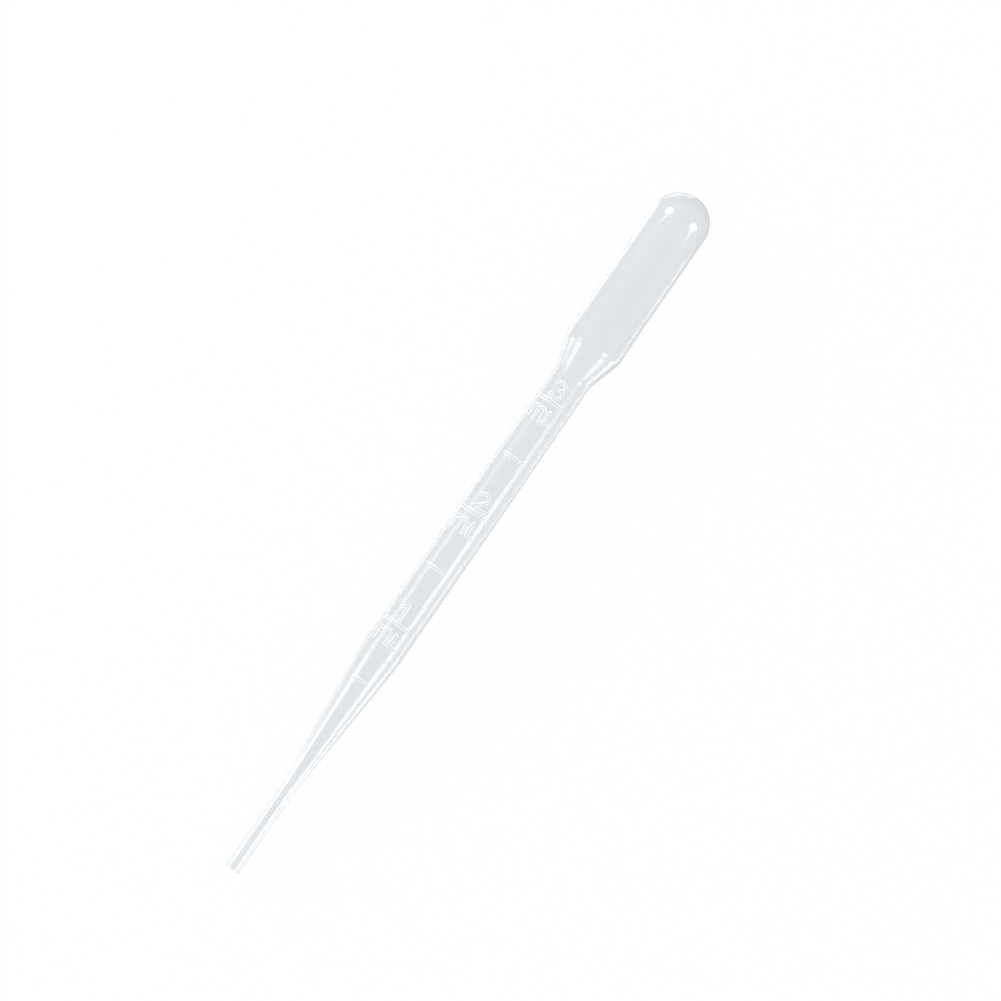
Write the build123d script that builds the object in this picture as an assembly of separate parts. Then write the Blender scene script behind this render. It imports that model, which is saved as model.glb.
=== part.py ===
# A dropper pipette blown in one piece from soft polyethylene, in millimetres.
# It lies on its side as it comes to rest on a bench: the tip points to -X, the bulb to +X,
# and the raised scale looks up, turned a little to +Y. It touches the bench at the heel of
# the bulb and at the foot of the stem, so its axis climbs gently towards the bulb.
from build123d import *

import os
from math import atan2, cos, degrees, radians, sin
from typing import NamedTuple

# Lengths along the axis, from the cut end of the tip to the top of the bulb
tip_length = 19.2  # slender tube that dips into the liquid
taper_length = 30.2  # tube drawn down from the stem
stem_length = 41.6  # full width of the stem
neck_length = 22.8  # stem narrows a little below the shoulder
shoulder_length = 6.6
heel_length = 7.3  # bulb swells a little above the shoulder
bulb_length = 27.3  # the dome is part of it

# Outside diameters
tip_diameter = 3.1
stem_diameter = 8.0
neck_diameter = 7.7
heel_diameter = 11.85
bulb_diameter = 11.65

# Walls: drawing the tube down leaves the tip thickest, blowing the bulb leaves it thinnest
tip_wall = 0.5
stem_wall = 0.4
bulb_wall = 0.35

# Radii of the outside corners; the two slight ones at the neck and above the heel stay plain
tip_blend = 16.0
taper_blend = 14.0
neck_blend = 5.5
heel_blend = 4.5
plain = 0.0

# Scale: one raised rib for each half millilitre, longer at each whole one
mark_count = 6
first_mark = 43.6  # half a millilitre, from the cut end of the tip
mark_spacing = 12.8
rib_width = 0.56
rib_height = 0.14
rib_root = 0.2  # how deep a rib is sunk in the wall
whole_mark_arc = 78.0  # degrees round the tube
half_mark_arc = 48.0
scale_turn = 13.0  # middle of the scale, degrees from straight up towards +Y
seam_turn = 97.5  # start of the turned surfaces, at the side: clear of the scale and the bench


class Station(NamedTuple):
    """A corner of the wall's outline, with the wall's thickness there."""

    along: float
    diameter: float
    wall: float
    blend: float


def stations():
    """Corners of the outline between the cut end and the dome."""
    taper_foot = tip_length
    stem_foot = taper_foot + taper_length
    neck_foot = stem_foot + stem_length
    shoulder_foot = neck_foot + neck_length
    heel_foot = shoulder_foot + shoulder_length
    bulb_foot = heel_foot + heel_length
    return [
        Station(taper_foot, tip_diameter, tip_wall, tip_blend),
        Station(stem_foot, stem_diameter, stem_wall, taper_blend),
        Station(neck_foot, stem_diameter, stem_wall, plain),
        Station(shoulder_foot, neck_diameter, stem_wall, neck_blend),
        Station(heel_foot, heel_diameter, bulb_wall, heel_blend),
        Station(bulb_foot, bulb_diameter, bulb_wall, plain),
    ]


corners = stations()
total_length = corners[-1].along + bulb_length
dome_centre = total_length - bulb_diameter / 2


def turned(depth):
    """Solid of revolution on the outline, set in by a share of the wall: 0 outside, 1 inside."""
    dome_radius = bulb_diameter / 2 - depth * bulb_wall
    start = (0, tip_diameter / 2 - depth * tip_wall)
    bends = [(c.along, c.diameter / 2 - depth * c.wall) for c in corners]
    side = FilletPolyline(start, *bends, (dome_centre, dome_radius), radius=[c.blend for c in corners])
    dome = CenterArc((dome_centre, 0), dome_radius, 0, 90)
    middle = Polyline((dome_centre + dome_radius, 0), (0, 0), start)
    outline = make_face(side.edges() + dome.edges() + middle.edges())
    return Rot(X=-seam_turn) * revolve(Plane.XZ * outline, Axis.X)


def surface(along):
    """Radius and slope of the tube's outside at a distance from the cut end, between corners."""
    below = max((c for c in corners if c.along <= along), key=lambda c: c.along)
    above = min((c for c in corners if c.along > along), key=lambda c: c.along)
    rise, run = (above.diameter - below.diameter) / 2, above.along - below.along
    return below.diameter / 2 + rise * (along - below.along) / run, degrees(atan2(rise, run))


def scale_rib(along, arc):
    """Raised rib across the front of the tube: round crest, round ends, root sunk in the wall."""
    radius, slope = surface(along)
    side = rib_width / 2
    crest_radius = (side**2 + rib_height**2) / (2 * rib_height)
    crest = RadiusArc((side, 0), (0, rib_height), -crest_radius)
    flank = Polyline((0, rib_height), (0, -rib_root), (side, -rib_root), (side, 0))
    half = make_face(flank.edges() + crest.edges())
    seat = Plane.XZ * Pos(along, radius) * Rot(Z=slope)
    stand = Axis((along, 0, radius), (-sin(radians(slope)), 0, cos(radians(slope))))
    body = revolve(seat * (half + mirror(half, Plane.YZ)), Axis.X, arc)
    ends = [revolve(seat * half, stand, 180), Rot(X=arc) * revolve(seat * half, stand, -180)]
    return Rot(X=-(scale_turn + arc / 2)) * (body + ends)


def scale():
    """Every rib of the scale, from the lowest mark up."""
    arcs = [whole_mark_arc if mark % 2 else half_mark_arc for mark in range(mark_count)]
    return [scale_rib(first_mark + mark * mark_spacing, arc) for mark, arc in enumerate(arcs)]


def at_rest(body):
    """Lay the body on the bench, on its heel and its stem, over the middle of its length."""
    heel = next(c for c in corners if c.diameter == heel_diameter)
    foot = next(c for c in corners if c.diameter == stem_diameter)
    climb = degrees(atan2((heel.diameter - foot.diameter) / 2, heel.along - foot.along))
    laid = Rot(Y=-climb) * body
    box = laid.bounding_box()
    return Pos(-box.center().X, -box.center().Y, -box.min.Z) * laid


os.makedirs("parts", exist_ok=True)
pipette = at_rest((turned(0) + scale()) - turned(1))
pipette.label = "pipette"
export_step(pipette, "parts/pipette.step")
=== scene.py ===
import math

import bpy
import numpy as np
from mathutils import Matrix, Vector


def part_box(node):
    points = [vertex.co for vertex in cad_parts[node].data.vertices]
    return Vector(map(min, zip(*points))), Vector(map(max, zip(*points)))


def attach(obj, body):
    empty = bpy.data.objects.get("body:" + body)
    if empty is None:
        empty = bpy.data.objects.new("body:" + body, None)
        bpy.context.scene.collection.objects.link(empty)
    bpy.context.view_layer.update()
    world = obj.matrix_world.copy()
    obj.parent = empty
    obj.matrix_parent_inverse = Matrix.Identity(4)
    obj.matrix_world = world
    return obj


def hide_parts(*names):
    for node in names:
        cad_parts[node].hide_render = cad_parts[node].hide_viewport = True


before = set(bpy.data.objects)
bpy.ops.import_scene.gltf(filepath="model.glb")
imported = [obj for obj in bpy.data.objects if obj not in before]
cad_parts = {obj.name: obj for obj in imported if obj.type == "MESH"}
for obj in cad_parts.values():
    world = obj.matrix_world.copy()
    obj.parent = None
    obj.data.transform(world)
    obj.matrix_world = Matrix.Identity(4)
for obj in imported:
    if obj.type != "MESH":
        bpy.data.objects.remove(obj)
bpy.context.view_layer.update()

# A dropper pipette blown in one piece from milky polyethylene, lying on a pale bench.
# Its wall is turned here from the same lengths and diameters as the solid, in millimetres,
# with the figures of the scale raised on it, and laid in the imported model's box.

MM = 0.001

# Corners of the outline: distance from the cut end, outside diameter, wall, corner radius
TIP_TOP = (19.2, 3.1, 0.5, 16.0)
STEM_FOOT = (49.4, 8.0, 0.4, 14.0)
NECK_FOOT = (91.0, 8.0, 0.4, 60.0)
SHOULDER_FOOT = (113.8, 7.7, 0.4, 5.5)
HEEL = (120.4, 11.85, 0.35, 4.5)
BULB_FOOT = (127.7, 11.65, 0.35, 30.0)
CORNERS = (TIP_TOP, STEM_FOOT, NECK_FOOT, SHOULDER_FOOT, HEEL, BULB_FOOT)
TOTAL_LENGTH = 155.0
HALF_LENGTH = TOTAL_LENGTH * MM / 2  # the middle of the pipette stands at X 0
DOME_CENTRE = TOTAL_LENGTH - BULB_FOOT[1] / 2
CUT_ROUND = 0.08  # the knife leaves the rim of the cut end slightly round
CLIMB = math.atan2((HEEL[1] - STEM_FOOT[1]) / 2, HEEL[0] - STEM_FOOT[0])

# Scale: a rib for each half millilitre, a figure above each whole one and its unit below
FIRST_MARK = 43.6
MARK_SPACING = 12.8
MARK_COUNT = 6
WHOLE_MARK_ARC = 78.0
HALF_MARK_ARC = 48.0
SCALE_TURN = 13.0  # degrees from straight up towards +Y
SCALE_RADIUS = 3.95  # strokes are laid out flat, then wrapped on this radius
RIB_WIDTH = 0.56
STROKE_WIDTH = 0.5
RELIEF_HEIGHT = 0.14
FLANK_WIDTH = 0.24
STROKE_REACH = 1.0  # no stroke raises the wall further off than this
FIGURE_FOOT = 0.95
FIGURE_SIZE = (2.7, 3.2)
FIGURE_LEFT = -1.05
UNIT_FOOT = -4.45
UNIT_HEIGHT = 2.6

# Mesh: plain cells all over, split finer wherever a raised stroke crosses them
ROW_STEP = 0.5
CLOSE_ROWS = 4  # rows to a step at the shoulder, which bends most
BELOW_SHOULDER = 2.0  # where the close rows start and end
ABOVE_HEEL = 1.5
COLUMNS = 96
SPLIT = 6
DOME_ROWS = 30
RIM_ROWS = 3
INNER_SKIP = 2  # the plain inner surface takes every second row

# Where the finish changes, in metres along X: the first is nearer the tip
BULB_STARTS = (0.036, 0.044)
DRAWN_ENDS = (-0.034, -0.024)
TIP_ENDS = (-0.060, -0.044)

# Finish of the plastic, as shares from 0 to 1
FACE_GLOSS = 0.045  # where a surface is met straight on
EDGE_GLOSS = 0.25  # how much more where it is met edge on
BACK_LOSS = 0.8  # of the gloss, on a surface seen through the wall
DRAWN_SHEEN = 0.14
TIP_SHEEN = 0.04  # how much more on the tip
FACE_MILK = 0.02
EDGE_MILK = 0.96
TIP_MILK_LOSS = 0.25
HAZE = 0.26
LARGE_CLOUDS = 0.06
DRAWN_CLOUDS = 0.03
LIT_THROUGH = 0.45  # of the haze, by light from its other side
INNER_EDGE_GLOSS = 0.5
# Painted highlight: the flanks of the strokes are made white in patches, whether light catches them or not
FLANK_HIGHLIGHT_SHARE = 0.7  # of the flanks of the strokes
FLANK_HIGHLIGHT_PATCHES = 0.5

# Roughness of the gloss, and the faint ripple that bends it
BULB_ROUGHNESS = 0.08
TUBE_ROUGHNESS = 0.08  # how much more on the tube
ROUGH_PATCHES = 0.04
INNER_ROUGHNESS = 0.15
RIPPLE_STRENGTH = 0.06
RIPPLE_HEIGHT = 0.0002

WHITE = (1.0, 1.0, 1.0, 1.0)
SKIN_MILK = (0.53, 0.545, 0.56, 1.0)
# White of the painted highlight on the flanks of the strokes
FLANK_HIGHLIGHT_WHITE = (0.98, 0.985, 0.99, 1.0)
SHEEN_GREY = (0.79, 0.82, 0.84, 1.0)
HAZE_MILK = (0.576, 0.633, 0.674, 1.0)
BENCH_GREY = (0.9, 0.9, 0.9, 1.0)
BENCH_GLOW = 0.96  # of what is seen of the bench. The rest shows the shadow

BENCH_HALF = 1.5
AXIS_HEIGHT = 0.006

# How far the lamps stand from the axis
CLOSE = 0.10
NEAR = 0.30
FAR = 0.80
HEADS_ALONG = 0.0946

KEY_PLACE = (0.15, 0.90, 0.28)
KEY_SIZE = (0.7, 0.3)
KEY_RADIANCE = 4.5

# The camera looks straight down on the bench with a long lens
VIEW_WIDTH = 0.1898  # of the bench, across the picture
LENS = 280.0
SENSOR = 36.0
VIEW_MIDDLE = (0.00915, -0.00210)
VIEW_TURN = -55.3
CLIPPING = (0.05, 20.0)


# ------------------------------------------------------------------ outline


def rounded_corner(before, corner, after, radius, steps=24):
    """Points of the arc that rounds one corner of the outline."""
    arrive = (corner - before) / np.linalg.norm(corner - before)
    leave = (after - corner) / np.linalg.norm(after - corner)
    turn = math.atan2(arrive[0] * leave[1] - arrive[1] * leave[0], arrive @ leave)
    foot = corner - arrive * radius * math.tan(abs(turn) / 2)
    centre = foot + math.copysign(radius, turn) * np.array([-arrive[1], arrive[0]])
    spoke = foot - centre
    arc = []
    for part in np.linspace(0, turn, steps + 1):
        cosine, sine = math.cos(part), math.sin(part)
        along = cosine * spoke[0] - sine * spoke[1]
        out = sine * spoke[0] + cosine * spoke[1]
        arc.append(centre + np.array([along, out]))
    return arc


def outline(depth):
    """Distance along and radius of the tube's wall up to the dome: depth 0 outside, 1 inside."""
    knots = [np.array([0.0, TIP_TOP[1] / 2 - depth * TIP_TOP[2]])]
    knots += [np.array([c[0], c[1] / 2 - depth * c[2]]) for c in CORNERS]
    knots.append(np.array([DOME_CENTRE, BULB_FOOT[1] / 2 - depth * BULB_FOOT[2]]))
    points = [knots[0]]
    for before, corner, after, shape in zip(knots, knots[1:], knots[2:], CORNERS):
        points.extend(rounded_corner(before, corner, after, shape[3]))
    points.append(knots[-1])
    return np.array(points)


OUTSIDE = outline(0)
INSIDE = outline(1)


# ------------------------------------------------------------------ strokes of the scale


def bow(centre, radii, start, end, steps=14):
    """An arc of an ellipse as a line of short runs, from one angle to another in degrees."""
    turns = np.radians(np.linspace(start, end, steps + 1))
    return [(centre[0] + radii[0] * math.cos(t), centre[1] + radii[1] * math.sin(t)) for t in turns]


def figure_lines(figure):
    """Centre lines of a figure's strokes, in a box one wide and one high."""
    if figure == 1:
        return [[(0.12, 0.74), (0.45, 1.0), (0.45, 0.0)]]
    if figure == 2:
        return [bow((0.46, 0.72), (0.42, 0.28), 165, -38) + [(0.02, 0.0), (1.0, 0.0)]]
    upper = bow((0.46, 0.755), (0.40, 0.245), 155, -90)
    lower = bow((0.46, 0.265), (0.46, 0.265), 90, -155)
    return [upper, lower]


def unit_lines():
    """Centre lines of the unit's two letters, in millimetres across and shares of their height up."""
    left_arch = [(-2.5, 0), (-2.5, 0.95)] + bow((-1.78, 0.7), (0.72, 0.3), 180, 0) + [(-1.06, 0)]
    right_arch = bow((-0.34, 0.7), (0.72, 0.3), 180, 0) + [(0.38, 0)]
    corner = [(1.3, 1), (1.3, 0), (2.55, 0)]
    return [left_arch, right_arch, corner]


def placed(lines, corner, size):
    """Lines stretched to a size and moved to a corner."""
    return [[(corner[0] + size[0] * x, corner[1] + size[1] * y) for x, y in line] for line in lines]


def whole_mark_lines(figure, along):
    """Centre lines of the figure above a whole mark and of the unit below it."""
    above = placed(figure_lines(figure), (FIGURE_LEFT, along + FIGURE_FOOT), FIGURE_SIZE)
    below = placed(unit_lines(), (0.0, along + UNIT_FOOT), (1.0, UNIT_HEIGHT))
    return above + below


def scale_strokes():
    """Every raised stroke as (start, end, width): across the front and along the tube."""
    strokes = []
    for mark in range(MARK_COUNT):
        along = FIRST_MARK + mark * MARK_SPACING
        whole = mark % 2
        reach = math.radians(WHOLE_MARK_ARC if whole else HALF_MARK_ARC) * SCALE_RADIUS / 2
        strokes.append(((-reach, along), (reach, along), RIB_WIDTH))
        if not whole:
            continue
        for line in whole_mark_lines((mark + 1) // 2, along):
            strokes += [(a, b, STROKE_WIDTH) for a, b in zip(line, line[1:])]
    return strokes


STROKES = scale_strokes()


def relief(along, across):
    """Height of the raised scale over the wall at points of the tube's front, in millimetres."""
    height = np.zeros(np.shape(along))
    for (x0, y0), (x1, y1), width in STROKES:
        near = np.abs(along - (y0 + y1) / 2) < abs(y1 - y0) / 2 + STROKE_REACH
        if not near.any():
            continue
        px, py = across[near] - x0, along[near] - y0
        dx, dy = x1 - x0, y1 - y0
        share = np.clip((px * dx + py * dy) / (dx * dx + dy * dy), 0, 1)
        gap = np.hypot(px - share * dx, py - share * dy)
        rise = np.clip((width / 2 + FLANK_WIDTH / 2 - gap) / FLANK_WIDTH, 0, 1)
        height[near] = np.maximum(height[near], RELIEF_HEIGHT * rise * rise * (3 - 2 * rise))
    return height


# ------------------------------------------------------------------ the wall's mesh


def wrap(turn):
    """Distance across the tube's front from the middle of the scale, for an angle from straight up."""
    off = (turn - math.radians(SCALE_TURN) + math.pi) % (2 * math.pi) - math.pi
    return -off * SCALE_RADIUS


class Wall:
    """Collects the points and faces of the blown wall."""

    def __init__(self):
        self.points = []
        self.normals = []
        self.edges = []
        self.faces = []
        self.known = {}

    def point(self, key, along, radius, turn, lean, twist=0.0, edge=0.0):
        """Index of a point given by its distance along, radius and angle round the axis. Its normal
        points by lean, as (straight out, towards the bulb), and by twist round the tube. edge is 1
        halfway up the flank of a stroke and 0 off it."""
        if key not in self.known:
            self.known[key] = len(self.points)
            sine, cosine = math.sin(turn), math.cos(turn)
            out, ahead = lean
            self.points.append((along, radius * sine, radius * cosine))
            self.normals.append((ahead, out * sine + twist * cosine, out * cosine - twist * sine))
            self.edges.append(edge)
        return self.known[key]


def outer_rows():
    """Distances along the tube of the mesh's rows, closer together at the shoulder."""
    low, high = SHOULDER_FOOT[0] - BELOW_SHOULDER, HEEL[0] + ABOVE_HEEL
    rows = [np.linspace(CUT_ROUND, low, round(low / ROW_STEP))]
    rows.append(np.linspace(low, high, round(CLOSE_ROWS * (high - low) / ROW_STEP))[1:])
    rows.append(np.linspace(high, DOME_CENTRE, round((DOME_CENTRE - high) / ROW_STEP))[1:])
    return np.concatenate(rows)


def split_rows(rows):
    """The rows with SPLIT - 1 more between each two."""
    runs = [np.linspace(a, b, SPLIT, endpoint=False) for a, b in zip(rows, rows[1:])]
    return np.concatenate(runs + [rows[-1:]])


def crossed_cells(raised):
    """Which cells of the outside a raised stroke crosses, by row and column."""
    closed = np.concatenate([raised, raised[:, :1]], 1)
    crossed = np.zeros(((len(raised) - 1) // SPLIT, COLUMNS), bool)
    for i, j in np.ndindex(crossed.shape):
        block = closed[i * SPLIT : (i + 1) * SPLIT + 1, j * SPLIT : (j + 1) * SPLIT + 1]
        crossed[i, j] = block.any()
    return crossed


def lay_outside(wall):
    """The outer surface from the cut end's rim to the dome's foot, with the scale raised on it."""
    fine = split_rows(outer_rows())
    columns = COLUMNS * SPLIT
    turns = np.arange(columns) * 2 * math.pi / columns
    radii = np.interp(fine, OUTSIDE[:, 0], OUTSIDE[:, 1])
    along, turn = np.meshgrid(fine, turns, indexing="ij")
    raised = relief(along, wrap(turn))
    grown = radii[:, None] + raised
    climb = np.gradient(grown, fine, axis=0)
    swell = (np.roll(raised, -1, 1) - np.roll(raised, 1, 1)) / (2 * (turns[1] - turns[0]) * grown)
    level = raised / RELIEF_HEIGHT
    edge = 4 * level * (1 - level)

    def at(i, j):
        j %= columns
        return wall.point(
            ("out", i, j), fine[i], grown[i, j], turns[j], (1.0, -climb[i, j]), -swell[i, j], edge[i, j]
        )

    crossed = crossed_cells(raised)
    for i, j in np.ndindex(crossed.shape):
        if crossed[i, j]:
            lay_fine_cell(wall, at, i, j)
        else:
            lay_plain_cell(wall, at, crossed, i, j)
    foot, top = ([at(i, j * SPLIT) for j in range(COLUMNS)] for i in (0, len(fine) - 1))
    return foot, top


def lay_fine_cell(wall, at, i, j):
    """One cell of the outside that a raised stroke crosses, split into small squares."""
    for k in range(i * SPLIT, (i + 1) * SPLIT):
        for n in range(j * SPLIT, (j + 1) * SPLIT):
            wall.faces.append((at(k, n), at(k + 1, n), at(k + 1, n + 1), at(k, n + 1)))


def lay_plain_cell(wall, at, crossed, i, j):
    """One plain cell, whose edges take up the points of any finer cell beside it."""
    low, high, left, right = i * SPLIT, (i + 1) * SPLIT, j * SPLIT, (j + 1) * SPLIT
    below = 1 if i > 0 and crossed[i - 1, j] else SPLIT
    beyond = 1 if crossed[i, (j + 1) % COLUMNS] else SPLIT
    above = 1 if i + 1 < len(crossed) and crossed[i + 1, j] else SPLIT
    before = 1 if crossed[i, (j - 1) % COLUMNS] else SPLIT
    rim = [at(low, n) for n in range(left, right, below)]
    rim += [at(k, right) for k in range(low, high, beyond)]
    rim += [at(high, n) for n in range(right, left, -above)]
    rim += [at(k, left) for k in range(high, low, -before)]
    rim.reverse()
    if len(rim) == 4:
        wall.faces.append(tuple(rim))
        return
    middle = at(low + SPLIT // 2, left + SPLIT // 2)
    for here, there in zip(rim, rim[1:] + rim[:1]):
        wall.faces.append((middle, here, there))


def ring(wall, name, along, radius, lean):
    """A plain ring of points round the axis."""
    turns = [2 * math.pi * j / COLUMNS for j in range(COLUMNS)]
    return [wall.point((name, j), along, radius, turn, lean) for j, turn in enumerate(turns)]


def join_rings(wall, low, high):
    """Quads between two plain rings, facing out from the axis."""
    for j in range(COLUMNS):
        n = (j + 1) % COLUMNS
        wall.faces.append((low[j], high[j], high[n], low[n]))


def lay_dome(wall, foot, name, radius, facing):
    """The round end over the dome's foot, facing out (1) or in (-1)."""
    last = foot
    for k in range(1, DOME_ROWS):
        lift = math.pi / 2 * k / DOME_ROWS
        out, ahead = math.cos(lift), math.sin(lift)
        lean = (facing * out, facing * ahead)
        rim = ring(wall, (name, k), DOME_CENTRE + radius * ahead, radius * out, lean)
        join_rings(wall, last, rim)
        last = rim
    top = wall.point((name, "top"), DOME_CENTRE + radius, 0.0, 0.0, (0.0, facing))
    for j in range(COLUMNS):
        wall.faces.append((last[j], top, last[(j + 1) % COLUMNS]))


def lay_cut_end(wall, outer_foot):
    """The rim of the tip's cut end, from the outside to the bore."""
    radius, bore = TIP_TOP[1] / 2, TIP_TOP[1] / 2 - TIP_TOP[2]
    lifts = [math.pi / 2 * k / RIM_ROWS for k in range(RIM_ROWS + 1)]
    rings = [outer_foot]
    for lift in lifts[1:]:
        out, back = math.cos(lift), math.sin(lift)
        spot = (CUT_ROUND * (1 - back), radius - CUT_ROUND * (1 - out))
        rings.append(ring(wall, ("rim out", lift), *spot, (out, -back)))
    for lift in lifts:
        back, inward = math.cos(lift), math.sin(lift)
        spot = (CUT_ROUND * (1 - back), bore + CUT_ROUND * (1 - inward))
        rings.append(ring(wall, ("rim in", lift), *spot, (-inward, -back)))
    for low, high in zip(rings, rings[1:]):
        join_rings(wall, high, low)
    return rings[-1]


def lay_inside(wall, bore_foot):
    """The inner surface of the wall, from the bore to the dome's inside. Gives its first face."""
    rings = [bore_foot]
    rows = outer_rows()[INNER_SKIP:-1:INNER_SKIP]
    radii = np.interp(rows, INSIDE[:, 0], INSIDE[:, 1])
    climb = np.gradient(radii, rows)
    for k in range(len(rows)):
        rings.append(ring(wall, ("in", k), rows[k], radii[k], (-1.0, climb[k])))
    dome_radius = BULB_FOOT[1] / 2 - BULB_FOOT[2]
    rings.append(ring(wall, ("in", "dome"), DOME_CENTRE, dome_radius, (-1.0, 0.0)))
    start = len(wall.faces)
    for low, high in zip(rings, rings[1:]):
        join_rings(wall, low, high)
    lay_dome(wall, rings[-1], "inner dome", dome_radius, -1)
    wall.faces[start:] = [tuple(reversed(face)) for face in wall.faces[start:]]
    return start


def tipped_up(vectors):
    """Vectors of the tube lying level, turned with it as its axis climbs."""
    along, side, up = np.array(vectors, float).T
    cosine, sine = math.cos(CLIMB), math.sin(CLIMB)
    return np.stack([along * cosine - up * sine, side, along * sine + up * cosine], 1)


def seated(points):
    """The wall's points in metres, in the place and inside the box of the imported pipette."""
    spots = tipped_up(points) * MM
    low, high = (np.array(corner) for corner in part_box("pipette"))
    middle = (spots.min(0) + spots.max(0)) / 2
    move = (low + high) / 2 - middle
    move[2] = low[2] - spots[:, 2].min()
    return np.clip(spots + move, low, high)


def make_pipette():
    """The whole pipette as one closed mesh, laid on the bench as it comes to rest."""
    wall = Wall()
    foot, dome_foot = lay_outside(wall)
    lay_dome(wall, dome_foot, "outer dome", BULB_FOOT[1] / 2, 1)
    inner = lay_inside(wall, lay_cut_end(wall, foot))
    mesh = bpy.data.meshes.new("blown_pipette")
    mesh.from_pydata(seated(wall.points).tolist(), [], wall.faces)
    mesh.attributes.new("stroke_edge", "FLOAT", "POINT").data.foreach_set("value", wall.edges)
    count = len(mesh.polygons)
    mesh.polygons.foreach_set("use_smooth", [True] * count)
    mesh.polygons.foreach_set("material_index", [int(face >= inner) for face in range(count)])
    normals = tipped_up(wall.normals)
    mesh.normals_split_custom_set_from_vertices(normals / np.linalg.norm(normals, axis=1)[:, None])
    mesh.update()
    piece = bpy.data.objects.new("blown_pipette", mesh)
    bpy.context.scene.collection.objects.link(piece)
    return piece


# ------------------------------------------------------------------ materials


class Reading:
    """A socket's value. Sums and products of readings add Math nodes."""

    def __init__(self, paint, socket):
        self.paint = paint
        self.socket = socket

    def _math(self, operation, *values, clamp=False):
        """A Math node on readings and numbers."""
        return self.paint.node(
            "ShaderNodeMath", {"operation": operation, "use_clamp": clamp}, dict(enumerate(values))
        )

    def __add__(self, other):
        return self._math("ADD", self, other)

    __radd__ = __add__

    def __rsub__(self, other):
        return self._math("SUBTRACT", other, self)

    def __mul__(self, other):
        return self._math("MULTIPLY", self, other)

    __rmul__ = __mul__

    def __pow__(self, other):
        return self._math("POWER", self, other)

    def clamped(self):
        """The reading held between 0 and 1."""
        return self._math("ADD", self, 0.0, clamp=True)

    def ease(self, start, end):
        """0 below start, 1 above end, smooth between."""
        return self.paint.node(
            "ShaderNodeMapRange",
            {"interpolation_type": "SMOOTHSTEP"},
            {"Value": self, "From Min": start, "From Max": end, "To Min": 0.0, "To Max": 1.0},
        )


class Paint:
    """A node material under construction."""

    def __init__(self, name):
        self.material = bpy.data.materials.new(name)
        self.material.use_nodes = True
        self.tree = self.material.node_tree
        self.tree.nodes.clear()

    def node(self, kind, settings=None, values=None, out=0):
        """Add a node: its settings are set first, then its sockets get numbers, colours or links."""
        made = self.tree.nodes.new(kind)
        for name, setting in (settings or {}).items():
            setattr(made, name, setting)
        for name, value in (values or {}).items():
            if isinstance(value, Reading):
                self.tree.links.new(value.socket, made.inputs[name])
            else:
                made.inputs[name].default_value = value
        return Reading(self, made.outputs[out])

    def mix(self, share, first, second):
        """Two shaders mixed: share 0 gives the first, 1 the second."""
        return self.node("ShaderNodeMixShader", {}, {0: share, 1: first, 2: second})

    def surface(self, shader):
        """Finish the material with this shader."""
        end = self.tree.nodes.new("ShaderNodeOutputMaterial")
        self.tree.links.new(shader.socket, end.inputs["Surface"])
        return self.material


def edge_on(paint, power):
    """How far a surface is met edge on, from 0 straight on to 1 at its outline."""
    return paint.node("ShaderNodeLayerWeight", {}, {"Blend": 0.5}, "Facing") ** power


def far_side(paint):
    """1 where the surface is seen from behind, through the wall."""
    return paint.node("ShaderNodeNewGeometry", {}, {}, "Backfacing")


def cloud(paint, size, stretch=1.0):
    """Soft patches from 0 to 1 of about this size in millimetres, drawn out along the tube."""
    place = paint.node("ShaderNodeTexCoord", {}, {}, "Object")
    drawn = paint.node(
        "ShaderNodeVectorMath", {"operation": "MULTIPLY"}, {0: place, 1: (1 / stretch, 1.0, 1.0)}
    )
    return paint.node("ShaderNodeTexNoise", {}, {"Vector": drawn, "Scale": 1 / (size * MM), "Detail": 2.0})


def up_tube(paint, start, end):
    """0 nearer the tip than start, 1 nearer the bulb than end, by distances along X."""
    place = paint.node("ShaderNodeTexCoord", {}, {}, "Object")
    return paint.node("ShaderNodeSeparateXYZ", {}, {0: place}, "X").ease(start, end)


def polish(paint):
    """Roughness of the skin: the blown bulb is glossier than the drawn tube."""
    tube = 1 - up_tube(paint, *BULB_STARTS)
    return tube * TUBE_ROUGHNESS + cloud(paint, 1.2) * ROUGH_PATCHES + BULB_ROUGHNESS


def matt(paint, colour, specular=0.0):
    """A soft shader of this colour, for the milk of the plastic and the painted highlight on the strokes.
    """
    values = {"Base Color": colour, "Roughness": 0.5, "Specular IOR Level": specular}
    return paint.node("ShaderNodeBsdfPrincipled", {}, values)


def unglazed(paint, slim):
    """The outside without its gloss: clear, with milk towards its outline and a painted highlight, in
    white, on the flanks of the strokes.
    """
    clear = paint.node("ShaderNodeBsdfTransparent")
    thick = edge_on(paint, 2.7) * (EDGE_MILK - slim * TIP_MILK_LOSS) + FACE_MILK
    wall = paint.mix(thick, clear, matt(paint, SKIN_MILK))
    stroke = paint.node("ShaderNodeAttribute", {"attribute_name": "stroke_edge"}, {}, "Fac")
    # Painted highlight: the flanks of the strokes turn white in patches
    flank_highlight = stroke * (cloud(paint, 0.5) * FLANK_HIGHLIGHT_PATCHES + FLANK_HIGHLIGHT_SHARE)
    return paint.mix(flank_highlight, wall, matt(paint, FLANK_HIGHLIGHT_WHITE))


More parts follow.
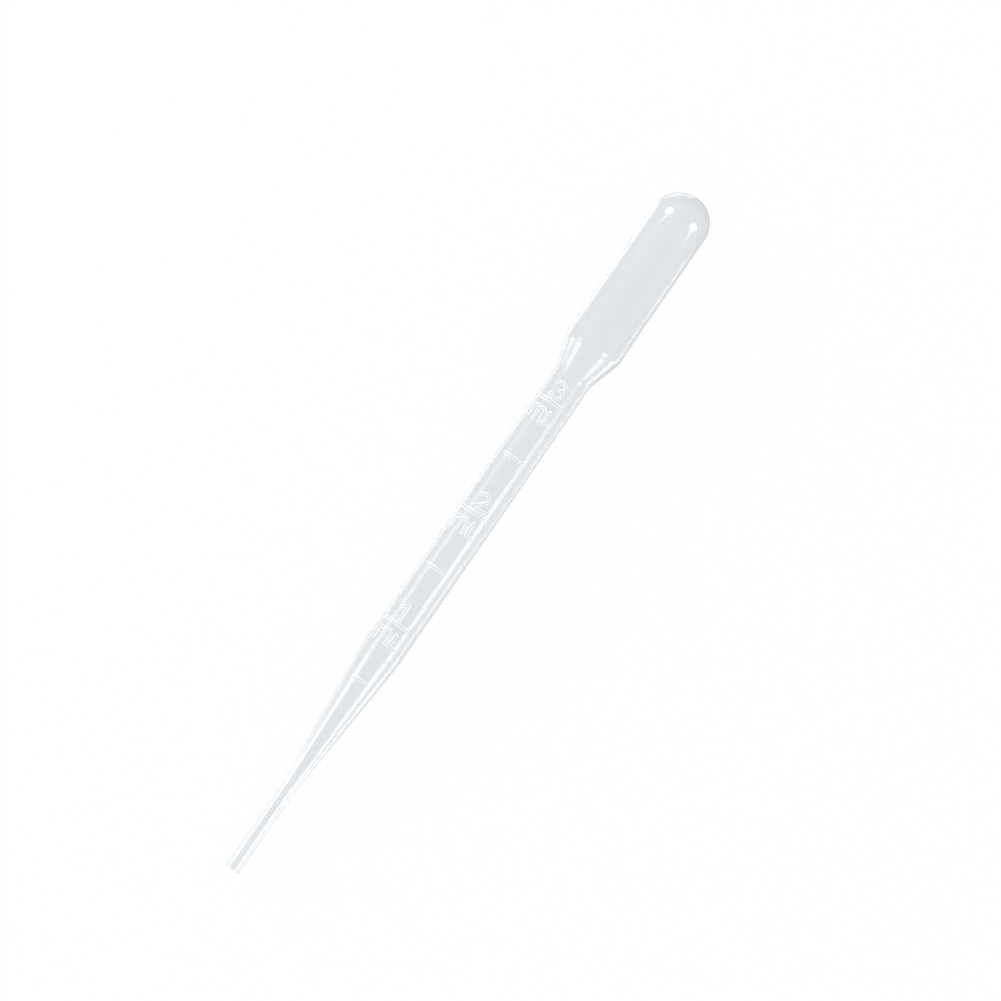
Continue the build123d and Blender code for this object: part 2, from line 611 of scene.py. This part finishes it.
def polyethylene_skin():
    """The outside: gloss over the clear wall, and a greyer sheen on the drawn taper and tip."""
    paint = Paint("polyethylene_skin")
    slim = 1 - up_tube(paint, *TIP_ENDS)
    drawn = 1 - up_tube(paint, *DRAWN_ENDS)
    near = 1 - far_side(paint) * BACK_LOSS
    ripple = paint.node(
        "ShaderNodeBump",
        {},
        {"Strength": RIPPLE_STRENGTH, "Distance": RIPPLE_HEIGHT, "Height": cloud(paint, 2.0, 5.0)},
    )
    gloss = paint.node(
        "ShaderNodeBsdfGlossy", {}, {"Color": WHITE, "Roughness": polish(paint), "Normal": ripple}
    )
    sheen = paint.node("ShaderNodeBsdfGlossy", {}, {"Color": SHEEN_GREY, "Roughness": polish(paint)})
    mirror = edge_on(paint, 5.0) * EDGE_GLOSS + FACE_GLOSS
    glazed = paint.mix(mirror * near, unglazed(paint, slim), gloss)
    return paint.surface(paint.mix(drawn * near * (slim * TIP_SHEEN + DRAWN_SHEEN), glazed, sheen))


def polyethylene_haze():
    """The inside: the milkiness of the whole wall, lit from both sides, with faint drawn clouds."""
    paint = Paint("polyethylene_haze")
    milk = matt(paint, HAZE_MILK, 0.3)
    glow = paint.node("ShaderNodeBsdfTranslucent", {}, {"Color": HAZE_MILK})
    clear = paint.node("ShaderNodeBsdfTransparent")
    gloss = paint.node("ShaderNodeBsdfGlossy", {}, {"Color": WHITE, "Roughness": INNER_ROUGHNESS})
    dense = cloud(paint, 7.0, 2.5) * LARGE_CLOUDS + cloud(paint, 0.7, 12.0) * DRAWN_CLOUDS + HAZE
    hazy = paint.mix(dense, clear, paint.mix(LIT_THROUGH, milk, glow))
    mirror = edge_on(paint, 4.0) * INNER_EDGE_GLOSS * far_side(paint)
    return paint.surface(paint.mix(mirror, hazy, gloss))


def bench_white():
    """White bench that keeps the pipette's soft shadow, and is clear from below and in gloss."""
    paint = Paint("bench_white")
    rays = "ShaderNodeLightPath"
    seen = paint.node(rays, {}, {}, "Is Camera Ray")
    mirrored = paint.node(rays, {}, {}, "Is Glossy Ray")
    through = paint.node(rays, {}, {}, "Is Transmission Ray")
    shows = (seen + through).clamped()
    lit = paint.node("ShaderNodeBsdfDiffuse", {}, {"Color": BENCH_GREY})
    glow = paint.node("ShaderNodeEmission", {}, {"Color": WHITE, "Strength": 1.0})
    top = paint.mix(shows * BENCH_GLOW, lit, glow)
    below = paint.node("ShaderNodeNewGeometry", {}, {}, "Backfacing")
    clear = paint.node("ShaderNodeBsdfTransparent")
    gone = (below * seen + mirrored).clamped()
    # The bench only looks white. It is no lamp, so it isn't sampled as one
    paint.material.cycles.emission_sampling = "NONE"
    return paint.surface(paint.mix(gone, top, clear))


# ------------------------------------------------------------------ bench, light and camera


def make_bench():
    """Flat white bench under the pipette."""
    half = BENCH_HALF
    mesh = bpy.data.meshes.new("bench")
    corners = [(-half, -half, 0), (half, -half, 0), (half, half, 0), (-half, half, 0)]
    mesh.from_pydata(corners, [], [(0, 1, 2, 3)])
    bench = bpy.data.objects.new("bench", mesh)
    bpy.context.scene.collection.objects.link(bench)
    bench.data.materials.append(bench_white())


def make_world():
    """A plain white room."""
    world = bpy.data.worlds.new("white_room")
    bpy.context.scene.world = world
    world.use_nodes = True
    tree = world.node_tree
    tree.nodes.clear()
    back = tree.nodes.new("ShaderNodeBackground")
    back.inputs["Color"].default_value = WHITE
    back.inputs["Strength"].default_value = 1.0
    end = tree.nodes.new("ShaderNodeOutputWorld")
    tree.links.new(back.outputs[0], end.inputs[0])


def add_lamp(name, spot, target, size, radiance, shape="RECTANGLE"):
    """An area lamp of (length along X, width) at spot, facing target."""
    lamp = bpy.data.lights.new(name, "AREA")
    lamp.shape = shape
    lamp.size, lamp.size_y = size
    lamp.energy = radiance * math.pi * size[0] * size[1]
    holder = bpy.data.objects.new(name, lamp)
    bpy.context.scene.collection.objects.link(holder)
    back = (Vector(spot) - Vector(target)).normalized()
    side = (Vector((1, 0, 0)) - back * back.x).normalized()
    turn = Matrix((side, back.cross(side), back)).transposed().to_4x4()
    holder.matrix_world = Matrix.Translation(spot) @ turn
    return holder


def lamp_spot(along, bearing, reach):
    """A place beside the tube, by degrees from straight up to +Y and distance from the axis."""
    turn = math.radians(bearing)
    return (along, reach * math.sin(turn), AXIS_HEIGHT + reach * math.cos(turn))


# Lamps that show in the gloss as streaks along the tube, each turned to the axis beside it
STREAK_LAMPS = (
    # name, middle along X, degrees from straight up to +Y, distance, (length, width), radiance
    ("left_upper_strip", 0.009, 61, NEAR, (0.038, 0.10), 1.0),
    ("left_stem_strip", -0.034, 61, NEAR, (0.048, 0.10), 3.0),
    ("left_tip_strip", -0.068, 61, NEAR, (0.020, 0.14), 0.15),
    ("left_taper_strip", -0.094, 60, NEAR, (0.032, 0.13), 1.8),
    ("left_limb_strip", 0.045, 148, NEAR, (0.150, 0.22), 1.9),
    ("left_taper_limb_strip", -0.075, 148, NEAR, (0.090, 0.22), 0.8),
    ("right_upper_strip", 0.022, -55, NEAR, (0.020, 0.10), 1.6),
    ("right_stem_strip", -0.023, -55, NEAR, (0.070, 0.125), 4.6),
    ("right_tip_strip", -0.068, -57, NEAR, (0.020, 0.15), 0.15),
    ("right_taper_strip", -0.094, -53, NEAR, (0.032, 0.14), 2.0),
    ("right_bulb_edge_strip", 0.058, -127, NEAR, (0.036, 0.06), 3.6),
    ("right_upper_edge_strip", 0.016, -124, NEAR, (0.052, 0.08), 3.4),
    ("right_low_edge_strip", -0.032, -111, NEAR, (0.044, 0.11), 5.0),
    ("right_taper_edge_strip", -0.072, -111, NEAR, (0.036, 0.11), 2.2),
    ("left_shoulder_strip", -0.160, 66, NEAR, (0.070, 0.15), 4.6),
    ("left_shoulder_side_strip", -0.285, 98, FAR, (0.130, 0.32), 5.6),
    ("right_shoulder_strip", -0.160, -68, NEAR, (0.070, 0.13), 4.2),
    ("right_shoulder_side_strip", -0.236, -113, FAR, (0.100, 0.48), 3.6),
)

# Round lamps turned to the middle of the dome: two bright spots on it, and its lit outline
DOME_LAMPS = (
    # name, place, (length, width), radiance
    ("left_head", lamp_spot(HEADS_ALONG, 58, CLOSE), (0.047, 0.053), 9.0),
    ("right_head", lamp_spot(HEADS_ALONG, -54, CLOSE), (0.047, 0.053), 9.0),
    ("dome_limb_lamp", (0.23, 0.10, -0.24), (0.20, 0.20), 1.3),
)


def light_scene():
    """Soft key low on the +Y side, and lamps whose images run along the tube and lie on the dome."""
    add_lamp("key", KEY_PLACE, (0, 0, 0), KEY_SIZE, KEY_RADIANCE).visible_glossy = False
    images = []
    for name, along, bearing, reach, size, radiance in STREAK_LAMPS:
        spot = lamp_spot(along, bearing, reach)
        images.append(add_lamp(name, spot, (along, 0, AXIS_HEIGHT), size, radiance))
    dome = (DOME_CENTRE * MM - HALF_LENGTH, 0, AXIS_HEIGHT)
    for name, spot, size, radiance in DOME_LAMPS:
        images.append(add_lamp(name, spot, dome, size, radiance, "ELLIPSE"))
    for image in images:
        image.visible_diffuse = False
        image.visible_camera = False


def place_camera():
    """Long lens straight over the bench, with the bulb to the upper right of the view."""
    camera = bpy.data.objects.new("camera", bpy.data.cameras.new("camera"))
    bpy.context.scene.collection.objects.link(camera)
    camera.data.lens = LENS
    camera.data.sensor_width = SENSOR
    camera.location = (*VIEW_MIDDLE, VIEW_WIDTH * LENS / SENSOR + AXIS_HEIGHT)
    camera.rotation_euler = (0, 0, math.radians(VIEW_TURN))
    camera.data.clip_start, camera.data.clip_end = CLIPPING
    bpy.context.scene.camera = camera


pipette = make_pipette()
pipette.data.materials.append(polyethylene_skin())
pipette.data.materials.append(polyethylene_haze())
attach(pipette, "root")
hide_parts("pipette")

make_bench()
make_world()
light_scene()
place_camera()
bpy.context.scene.view_settings.view_transform = "Standard"
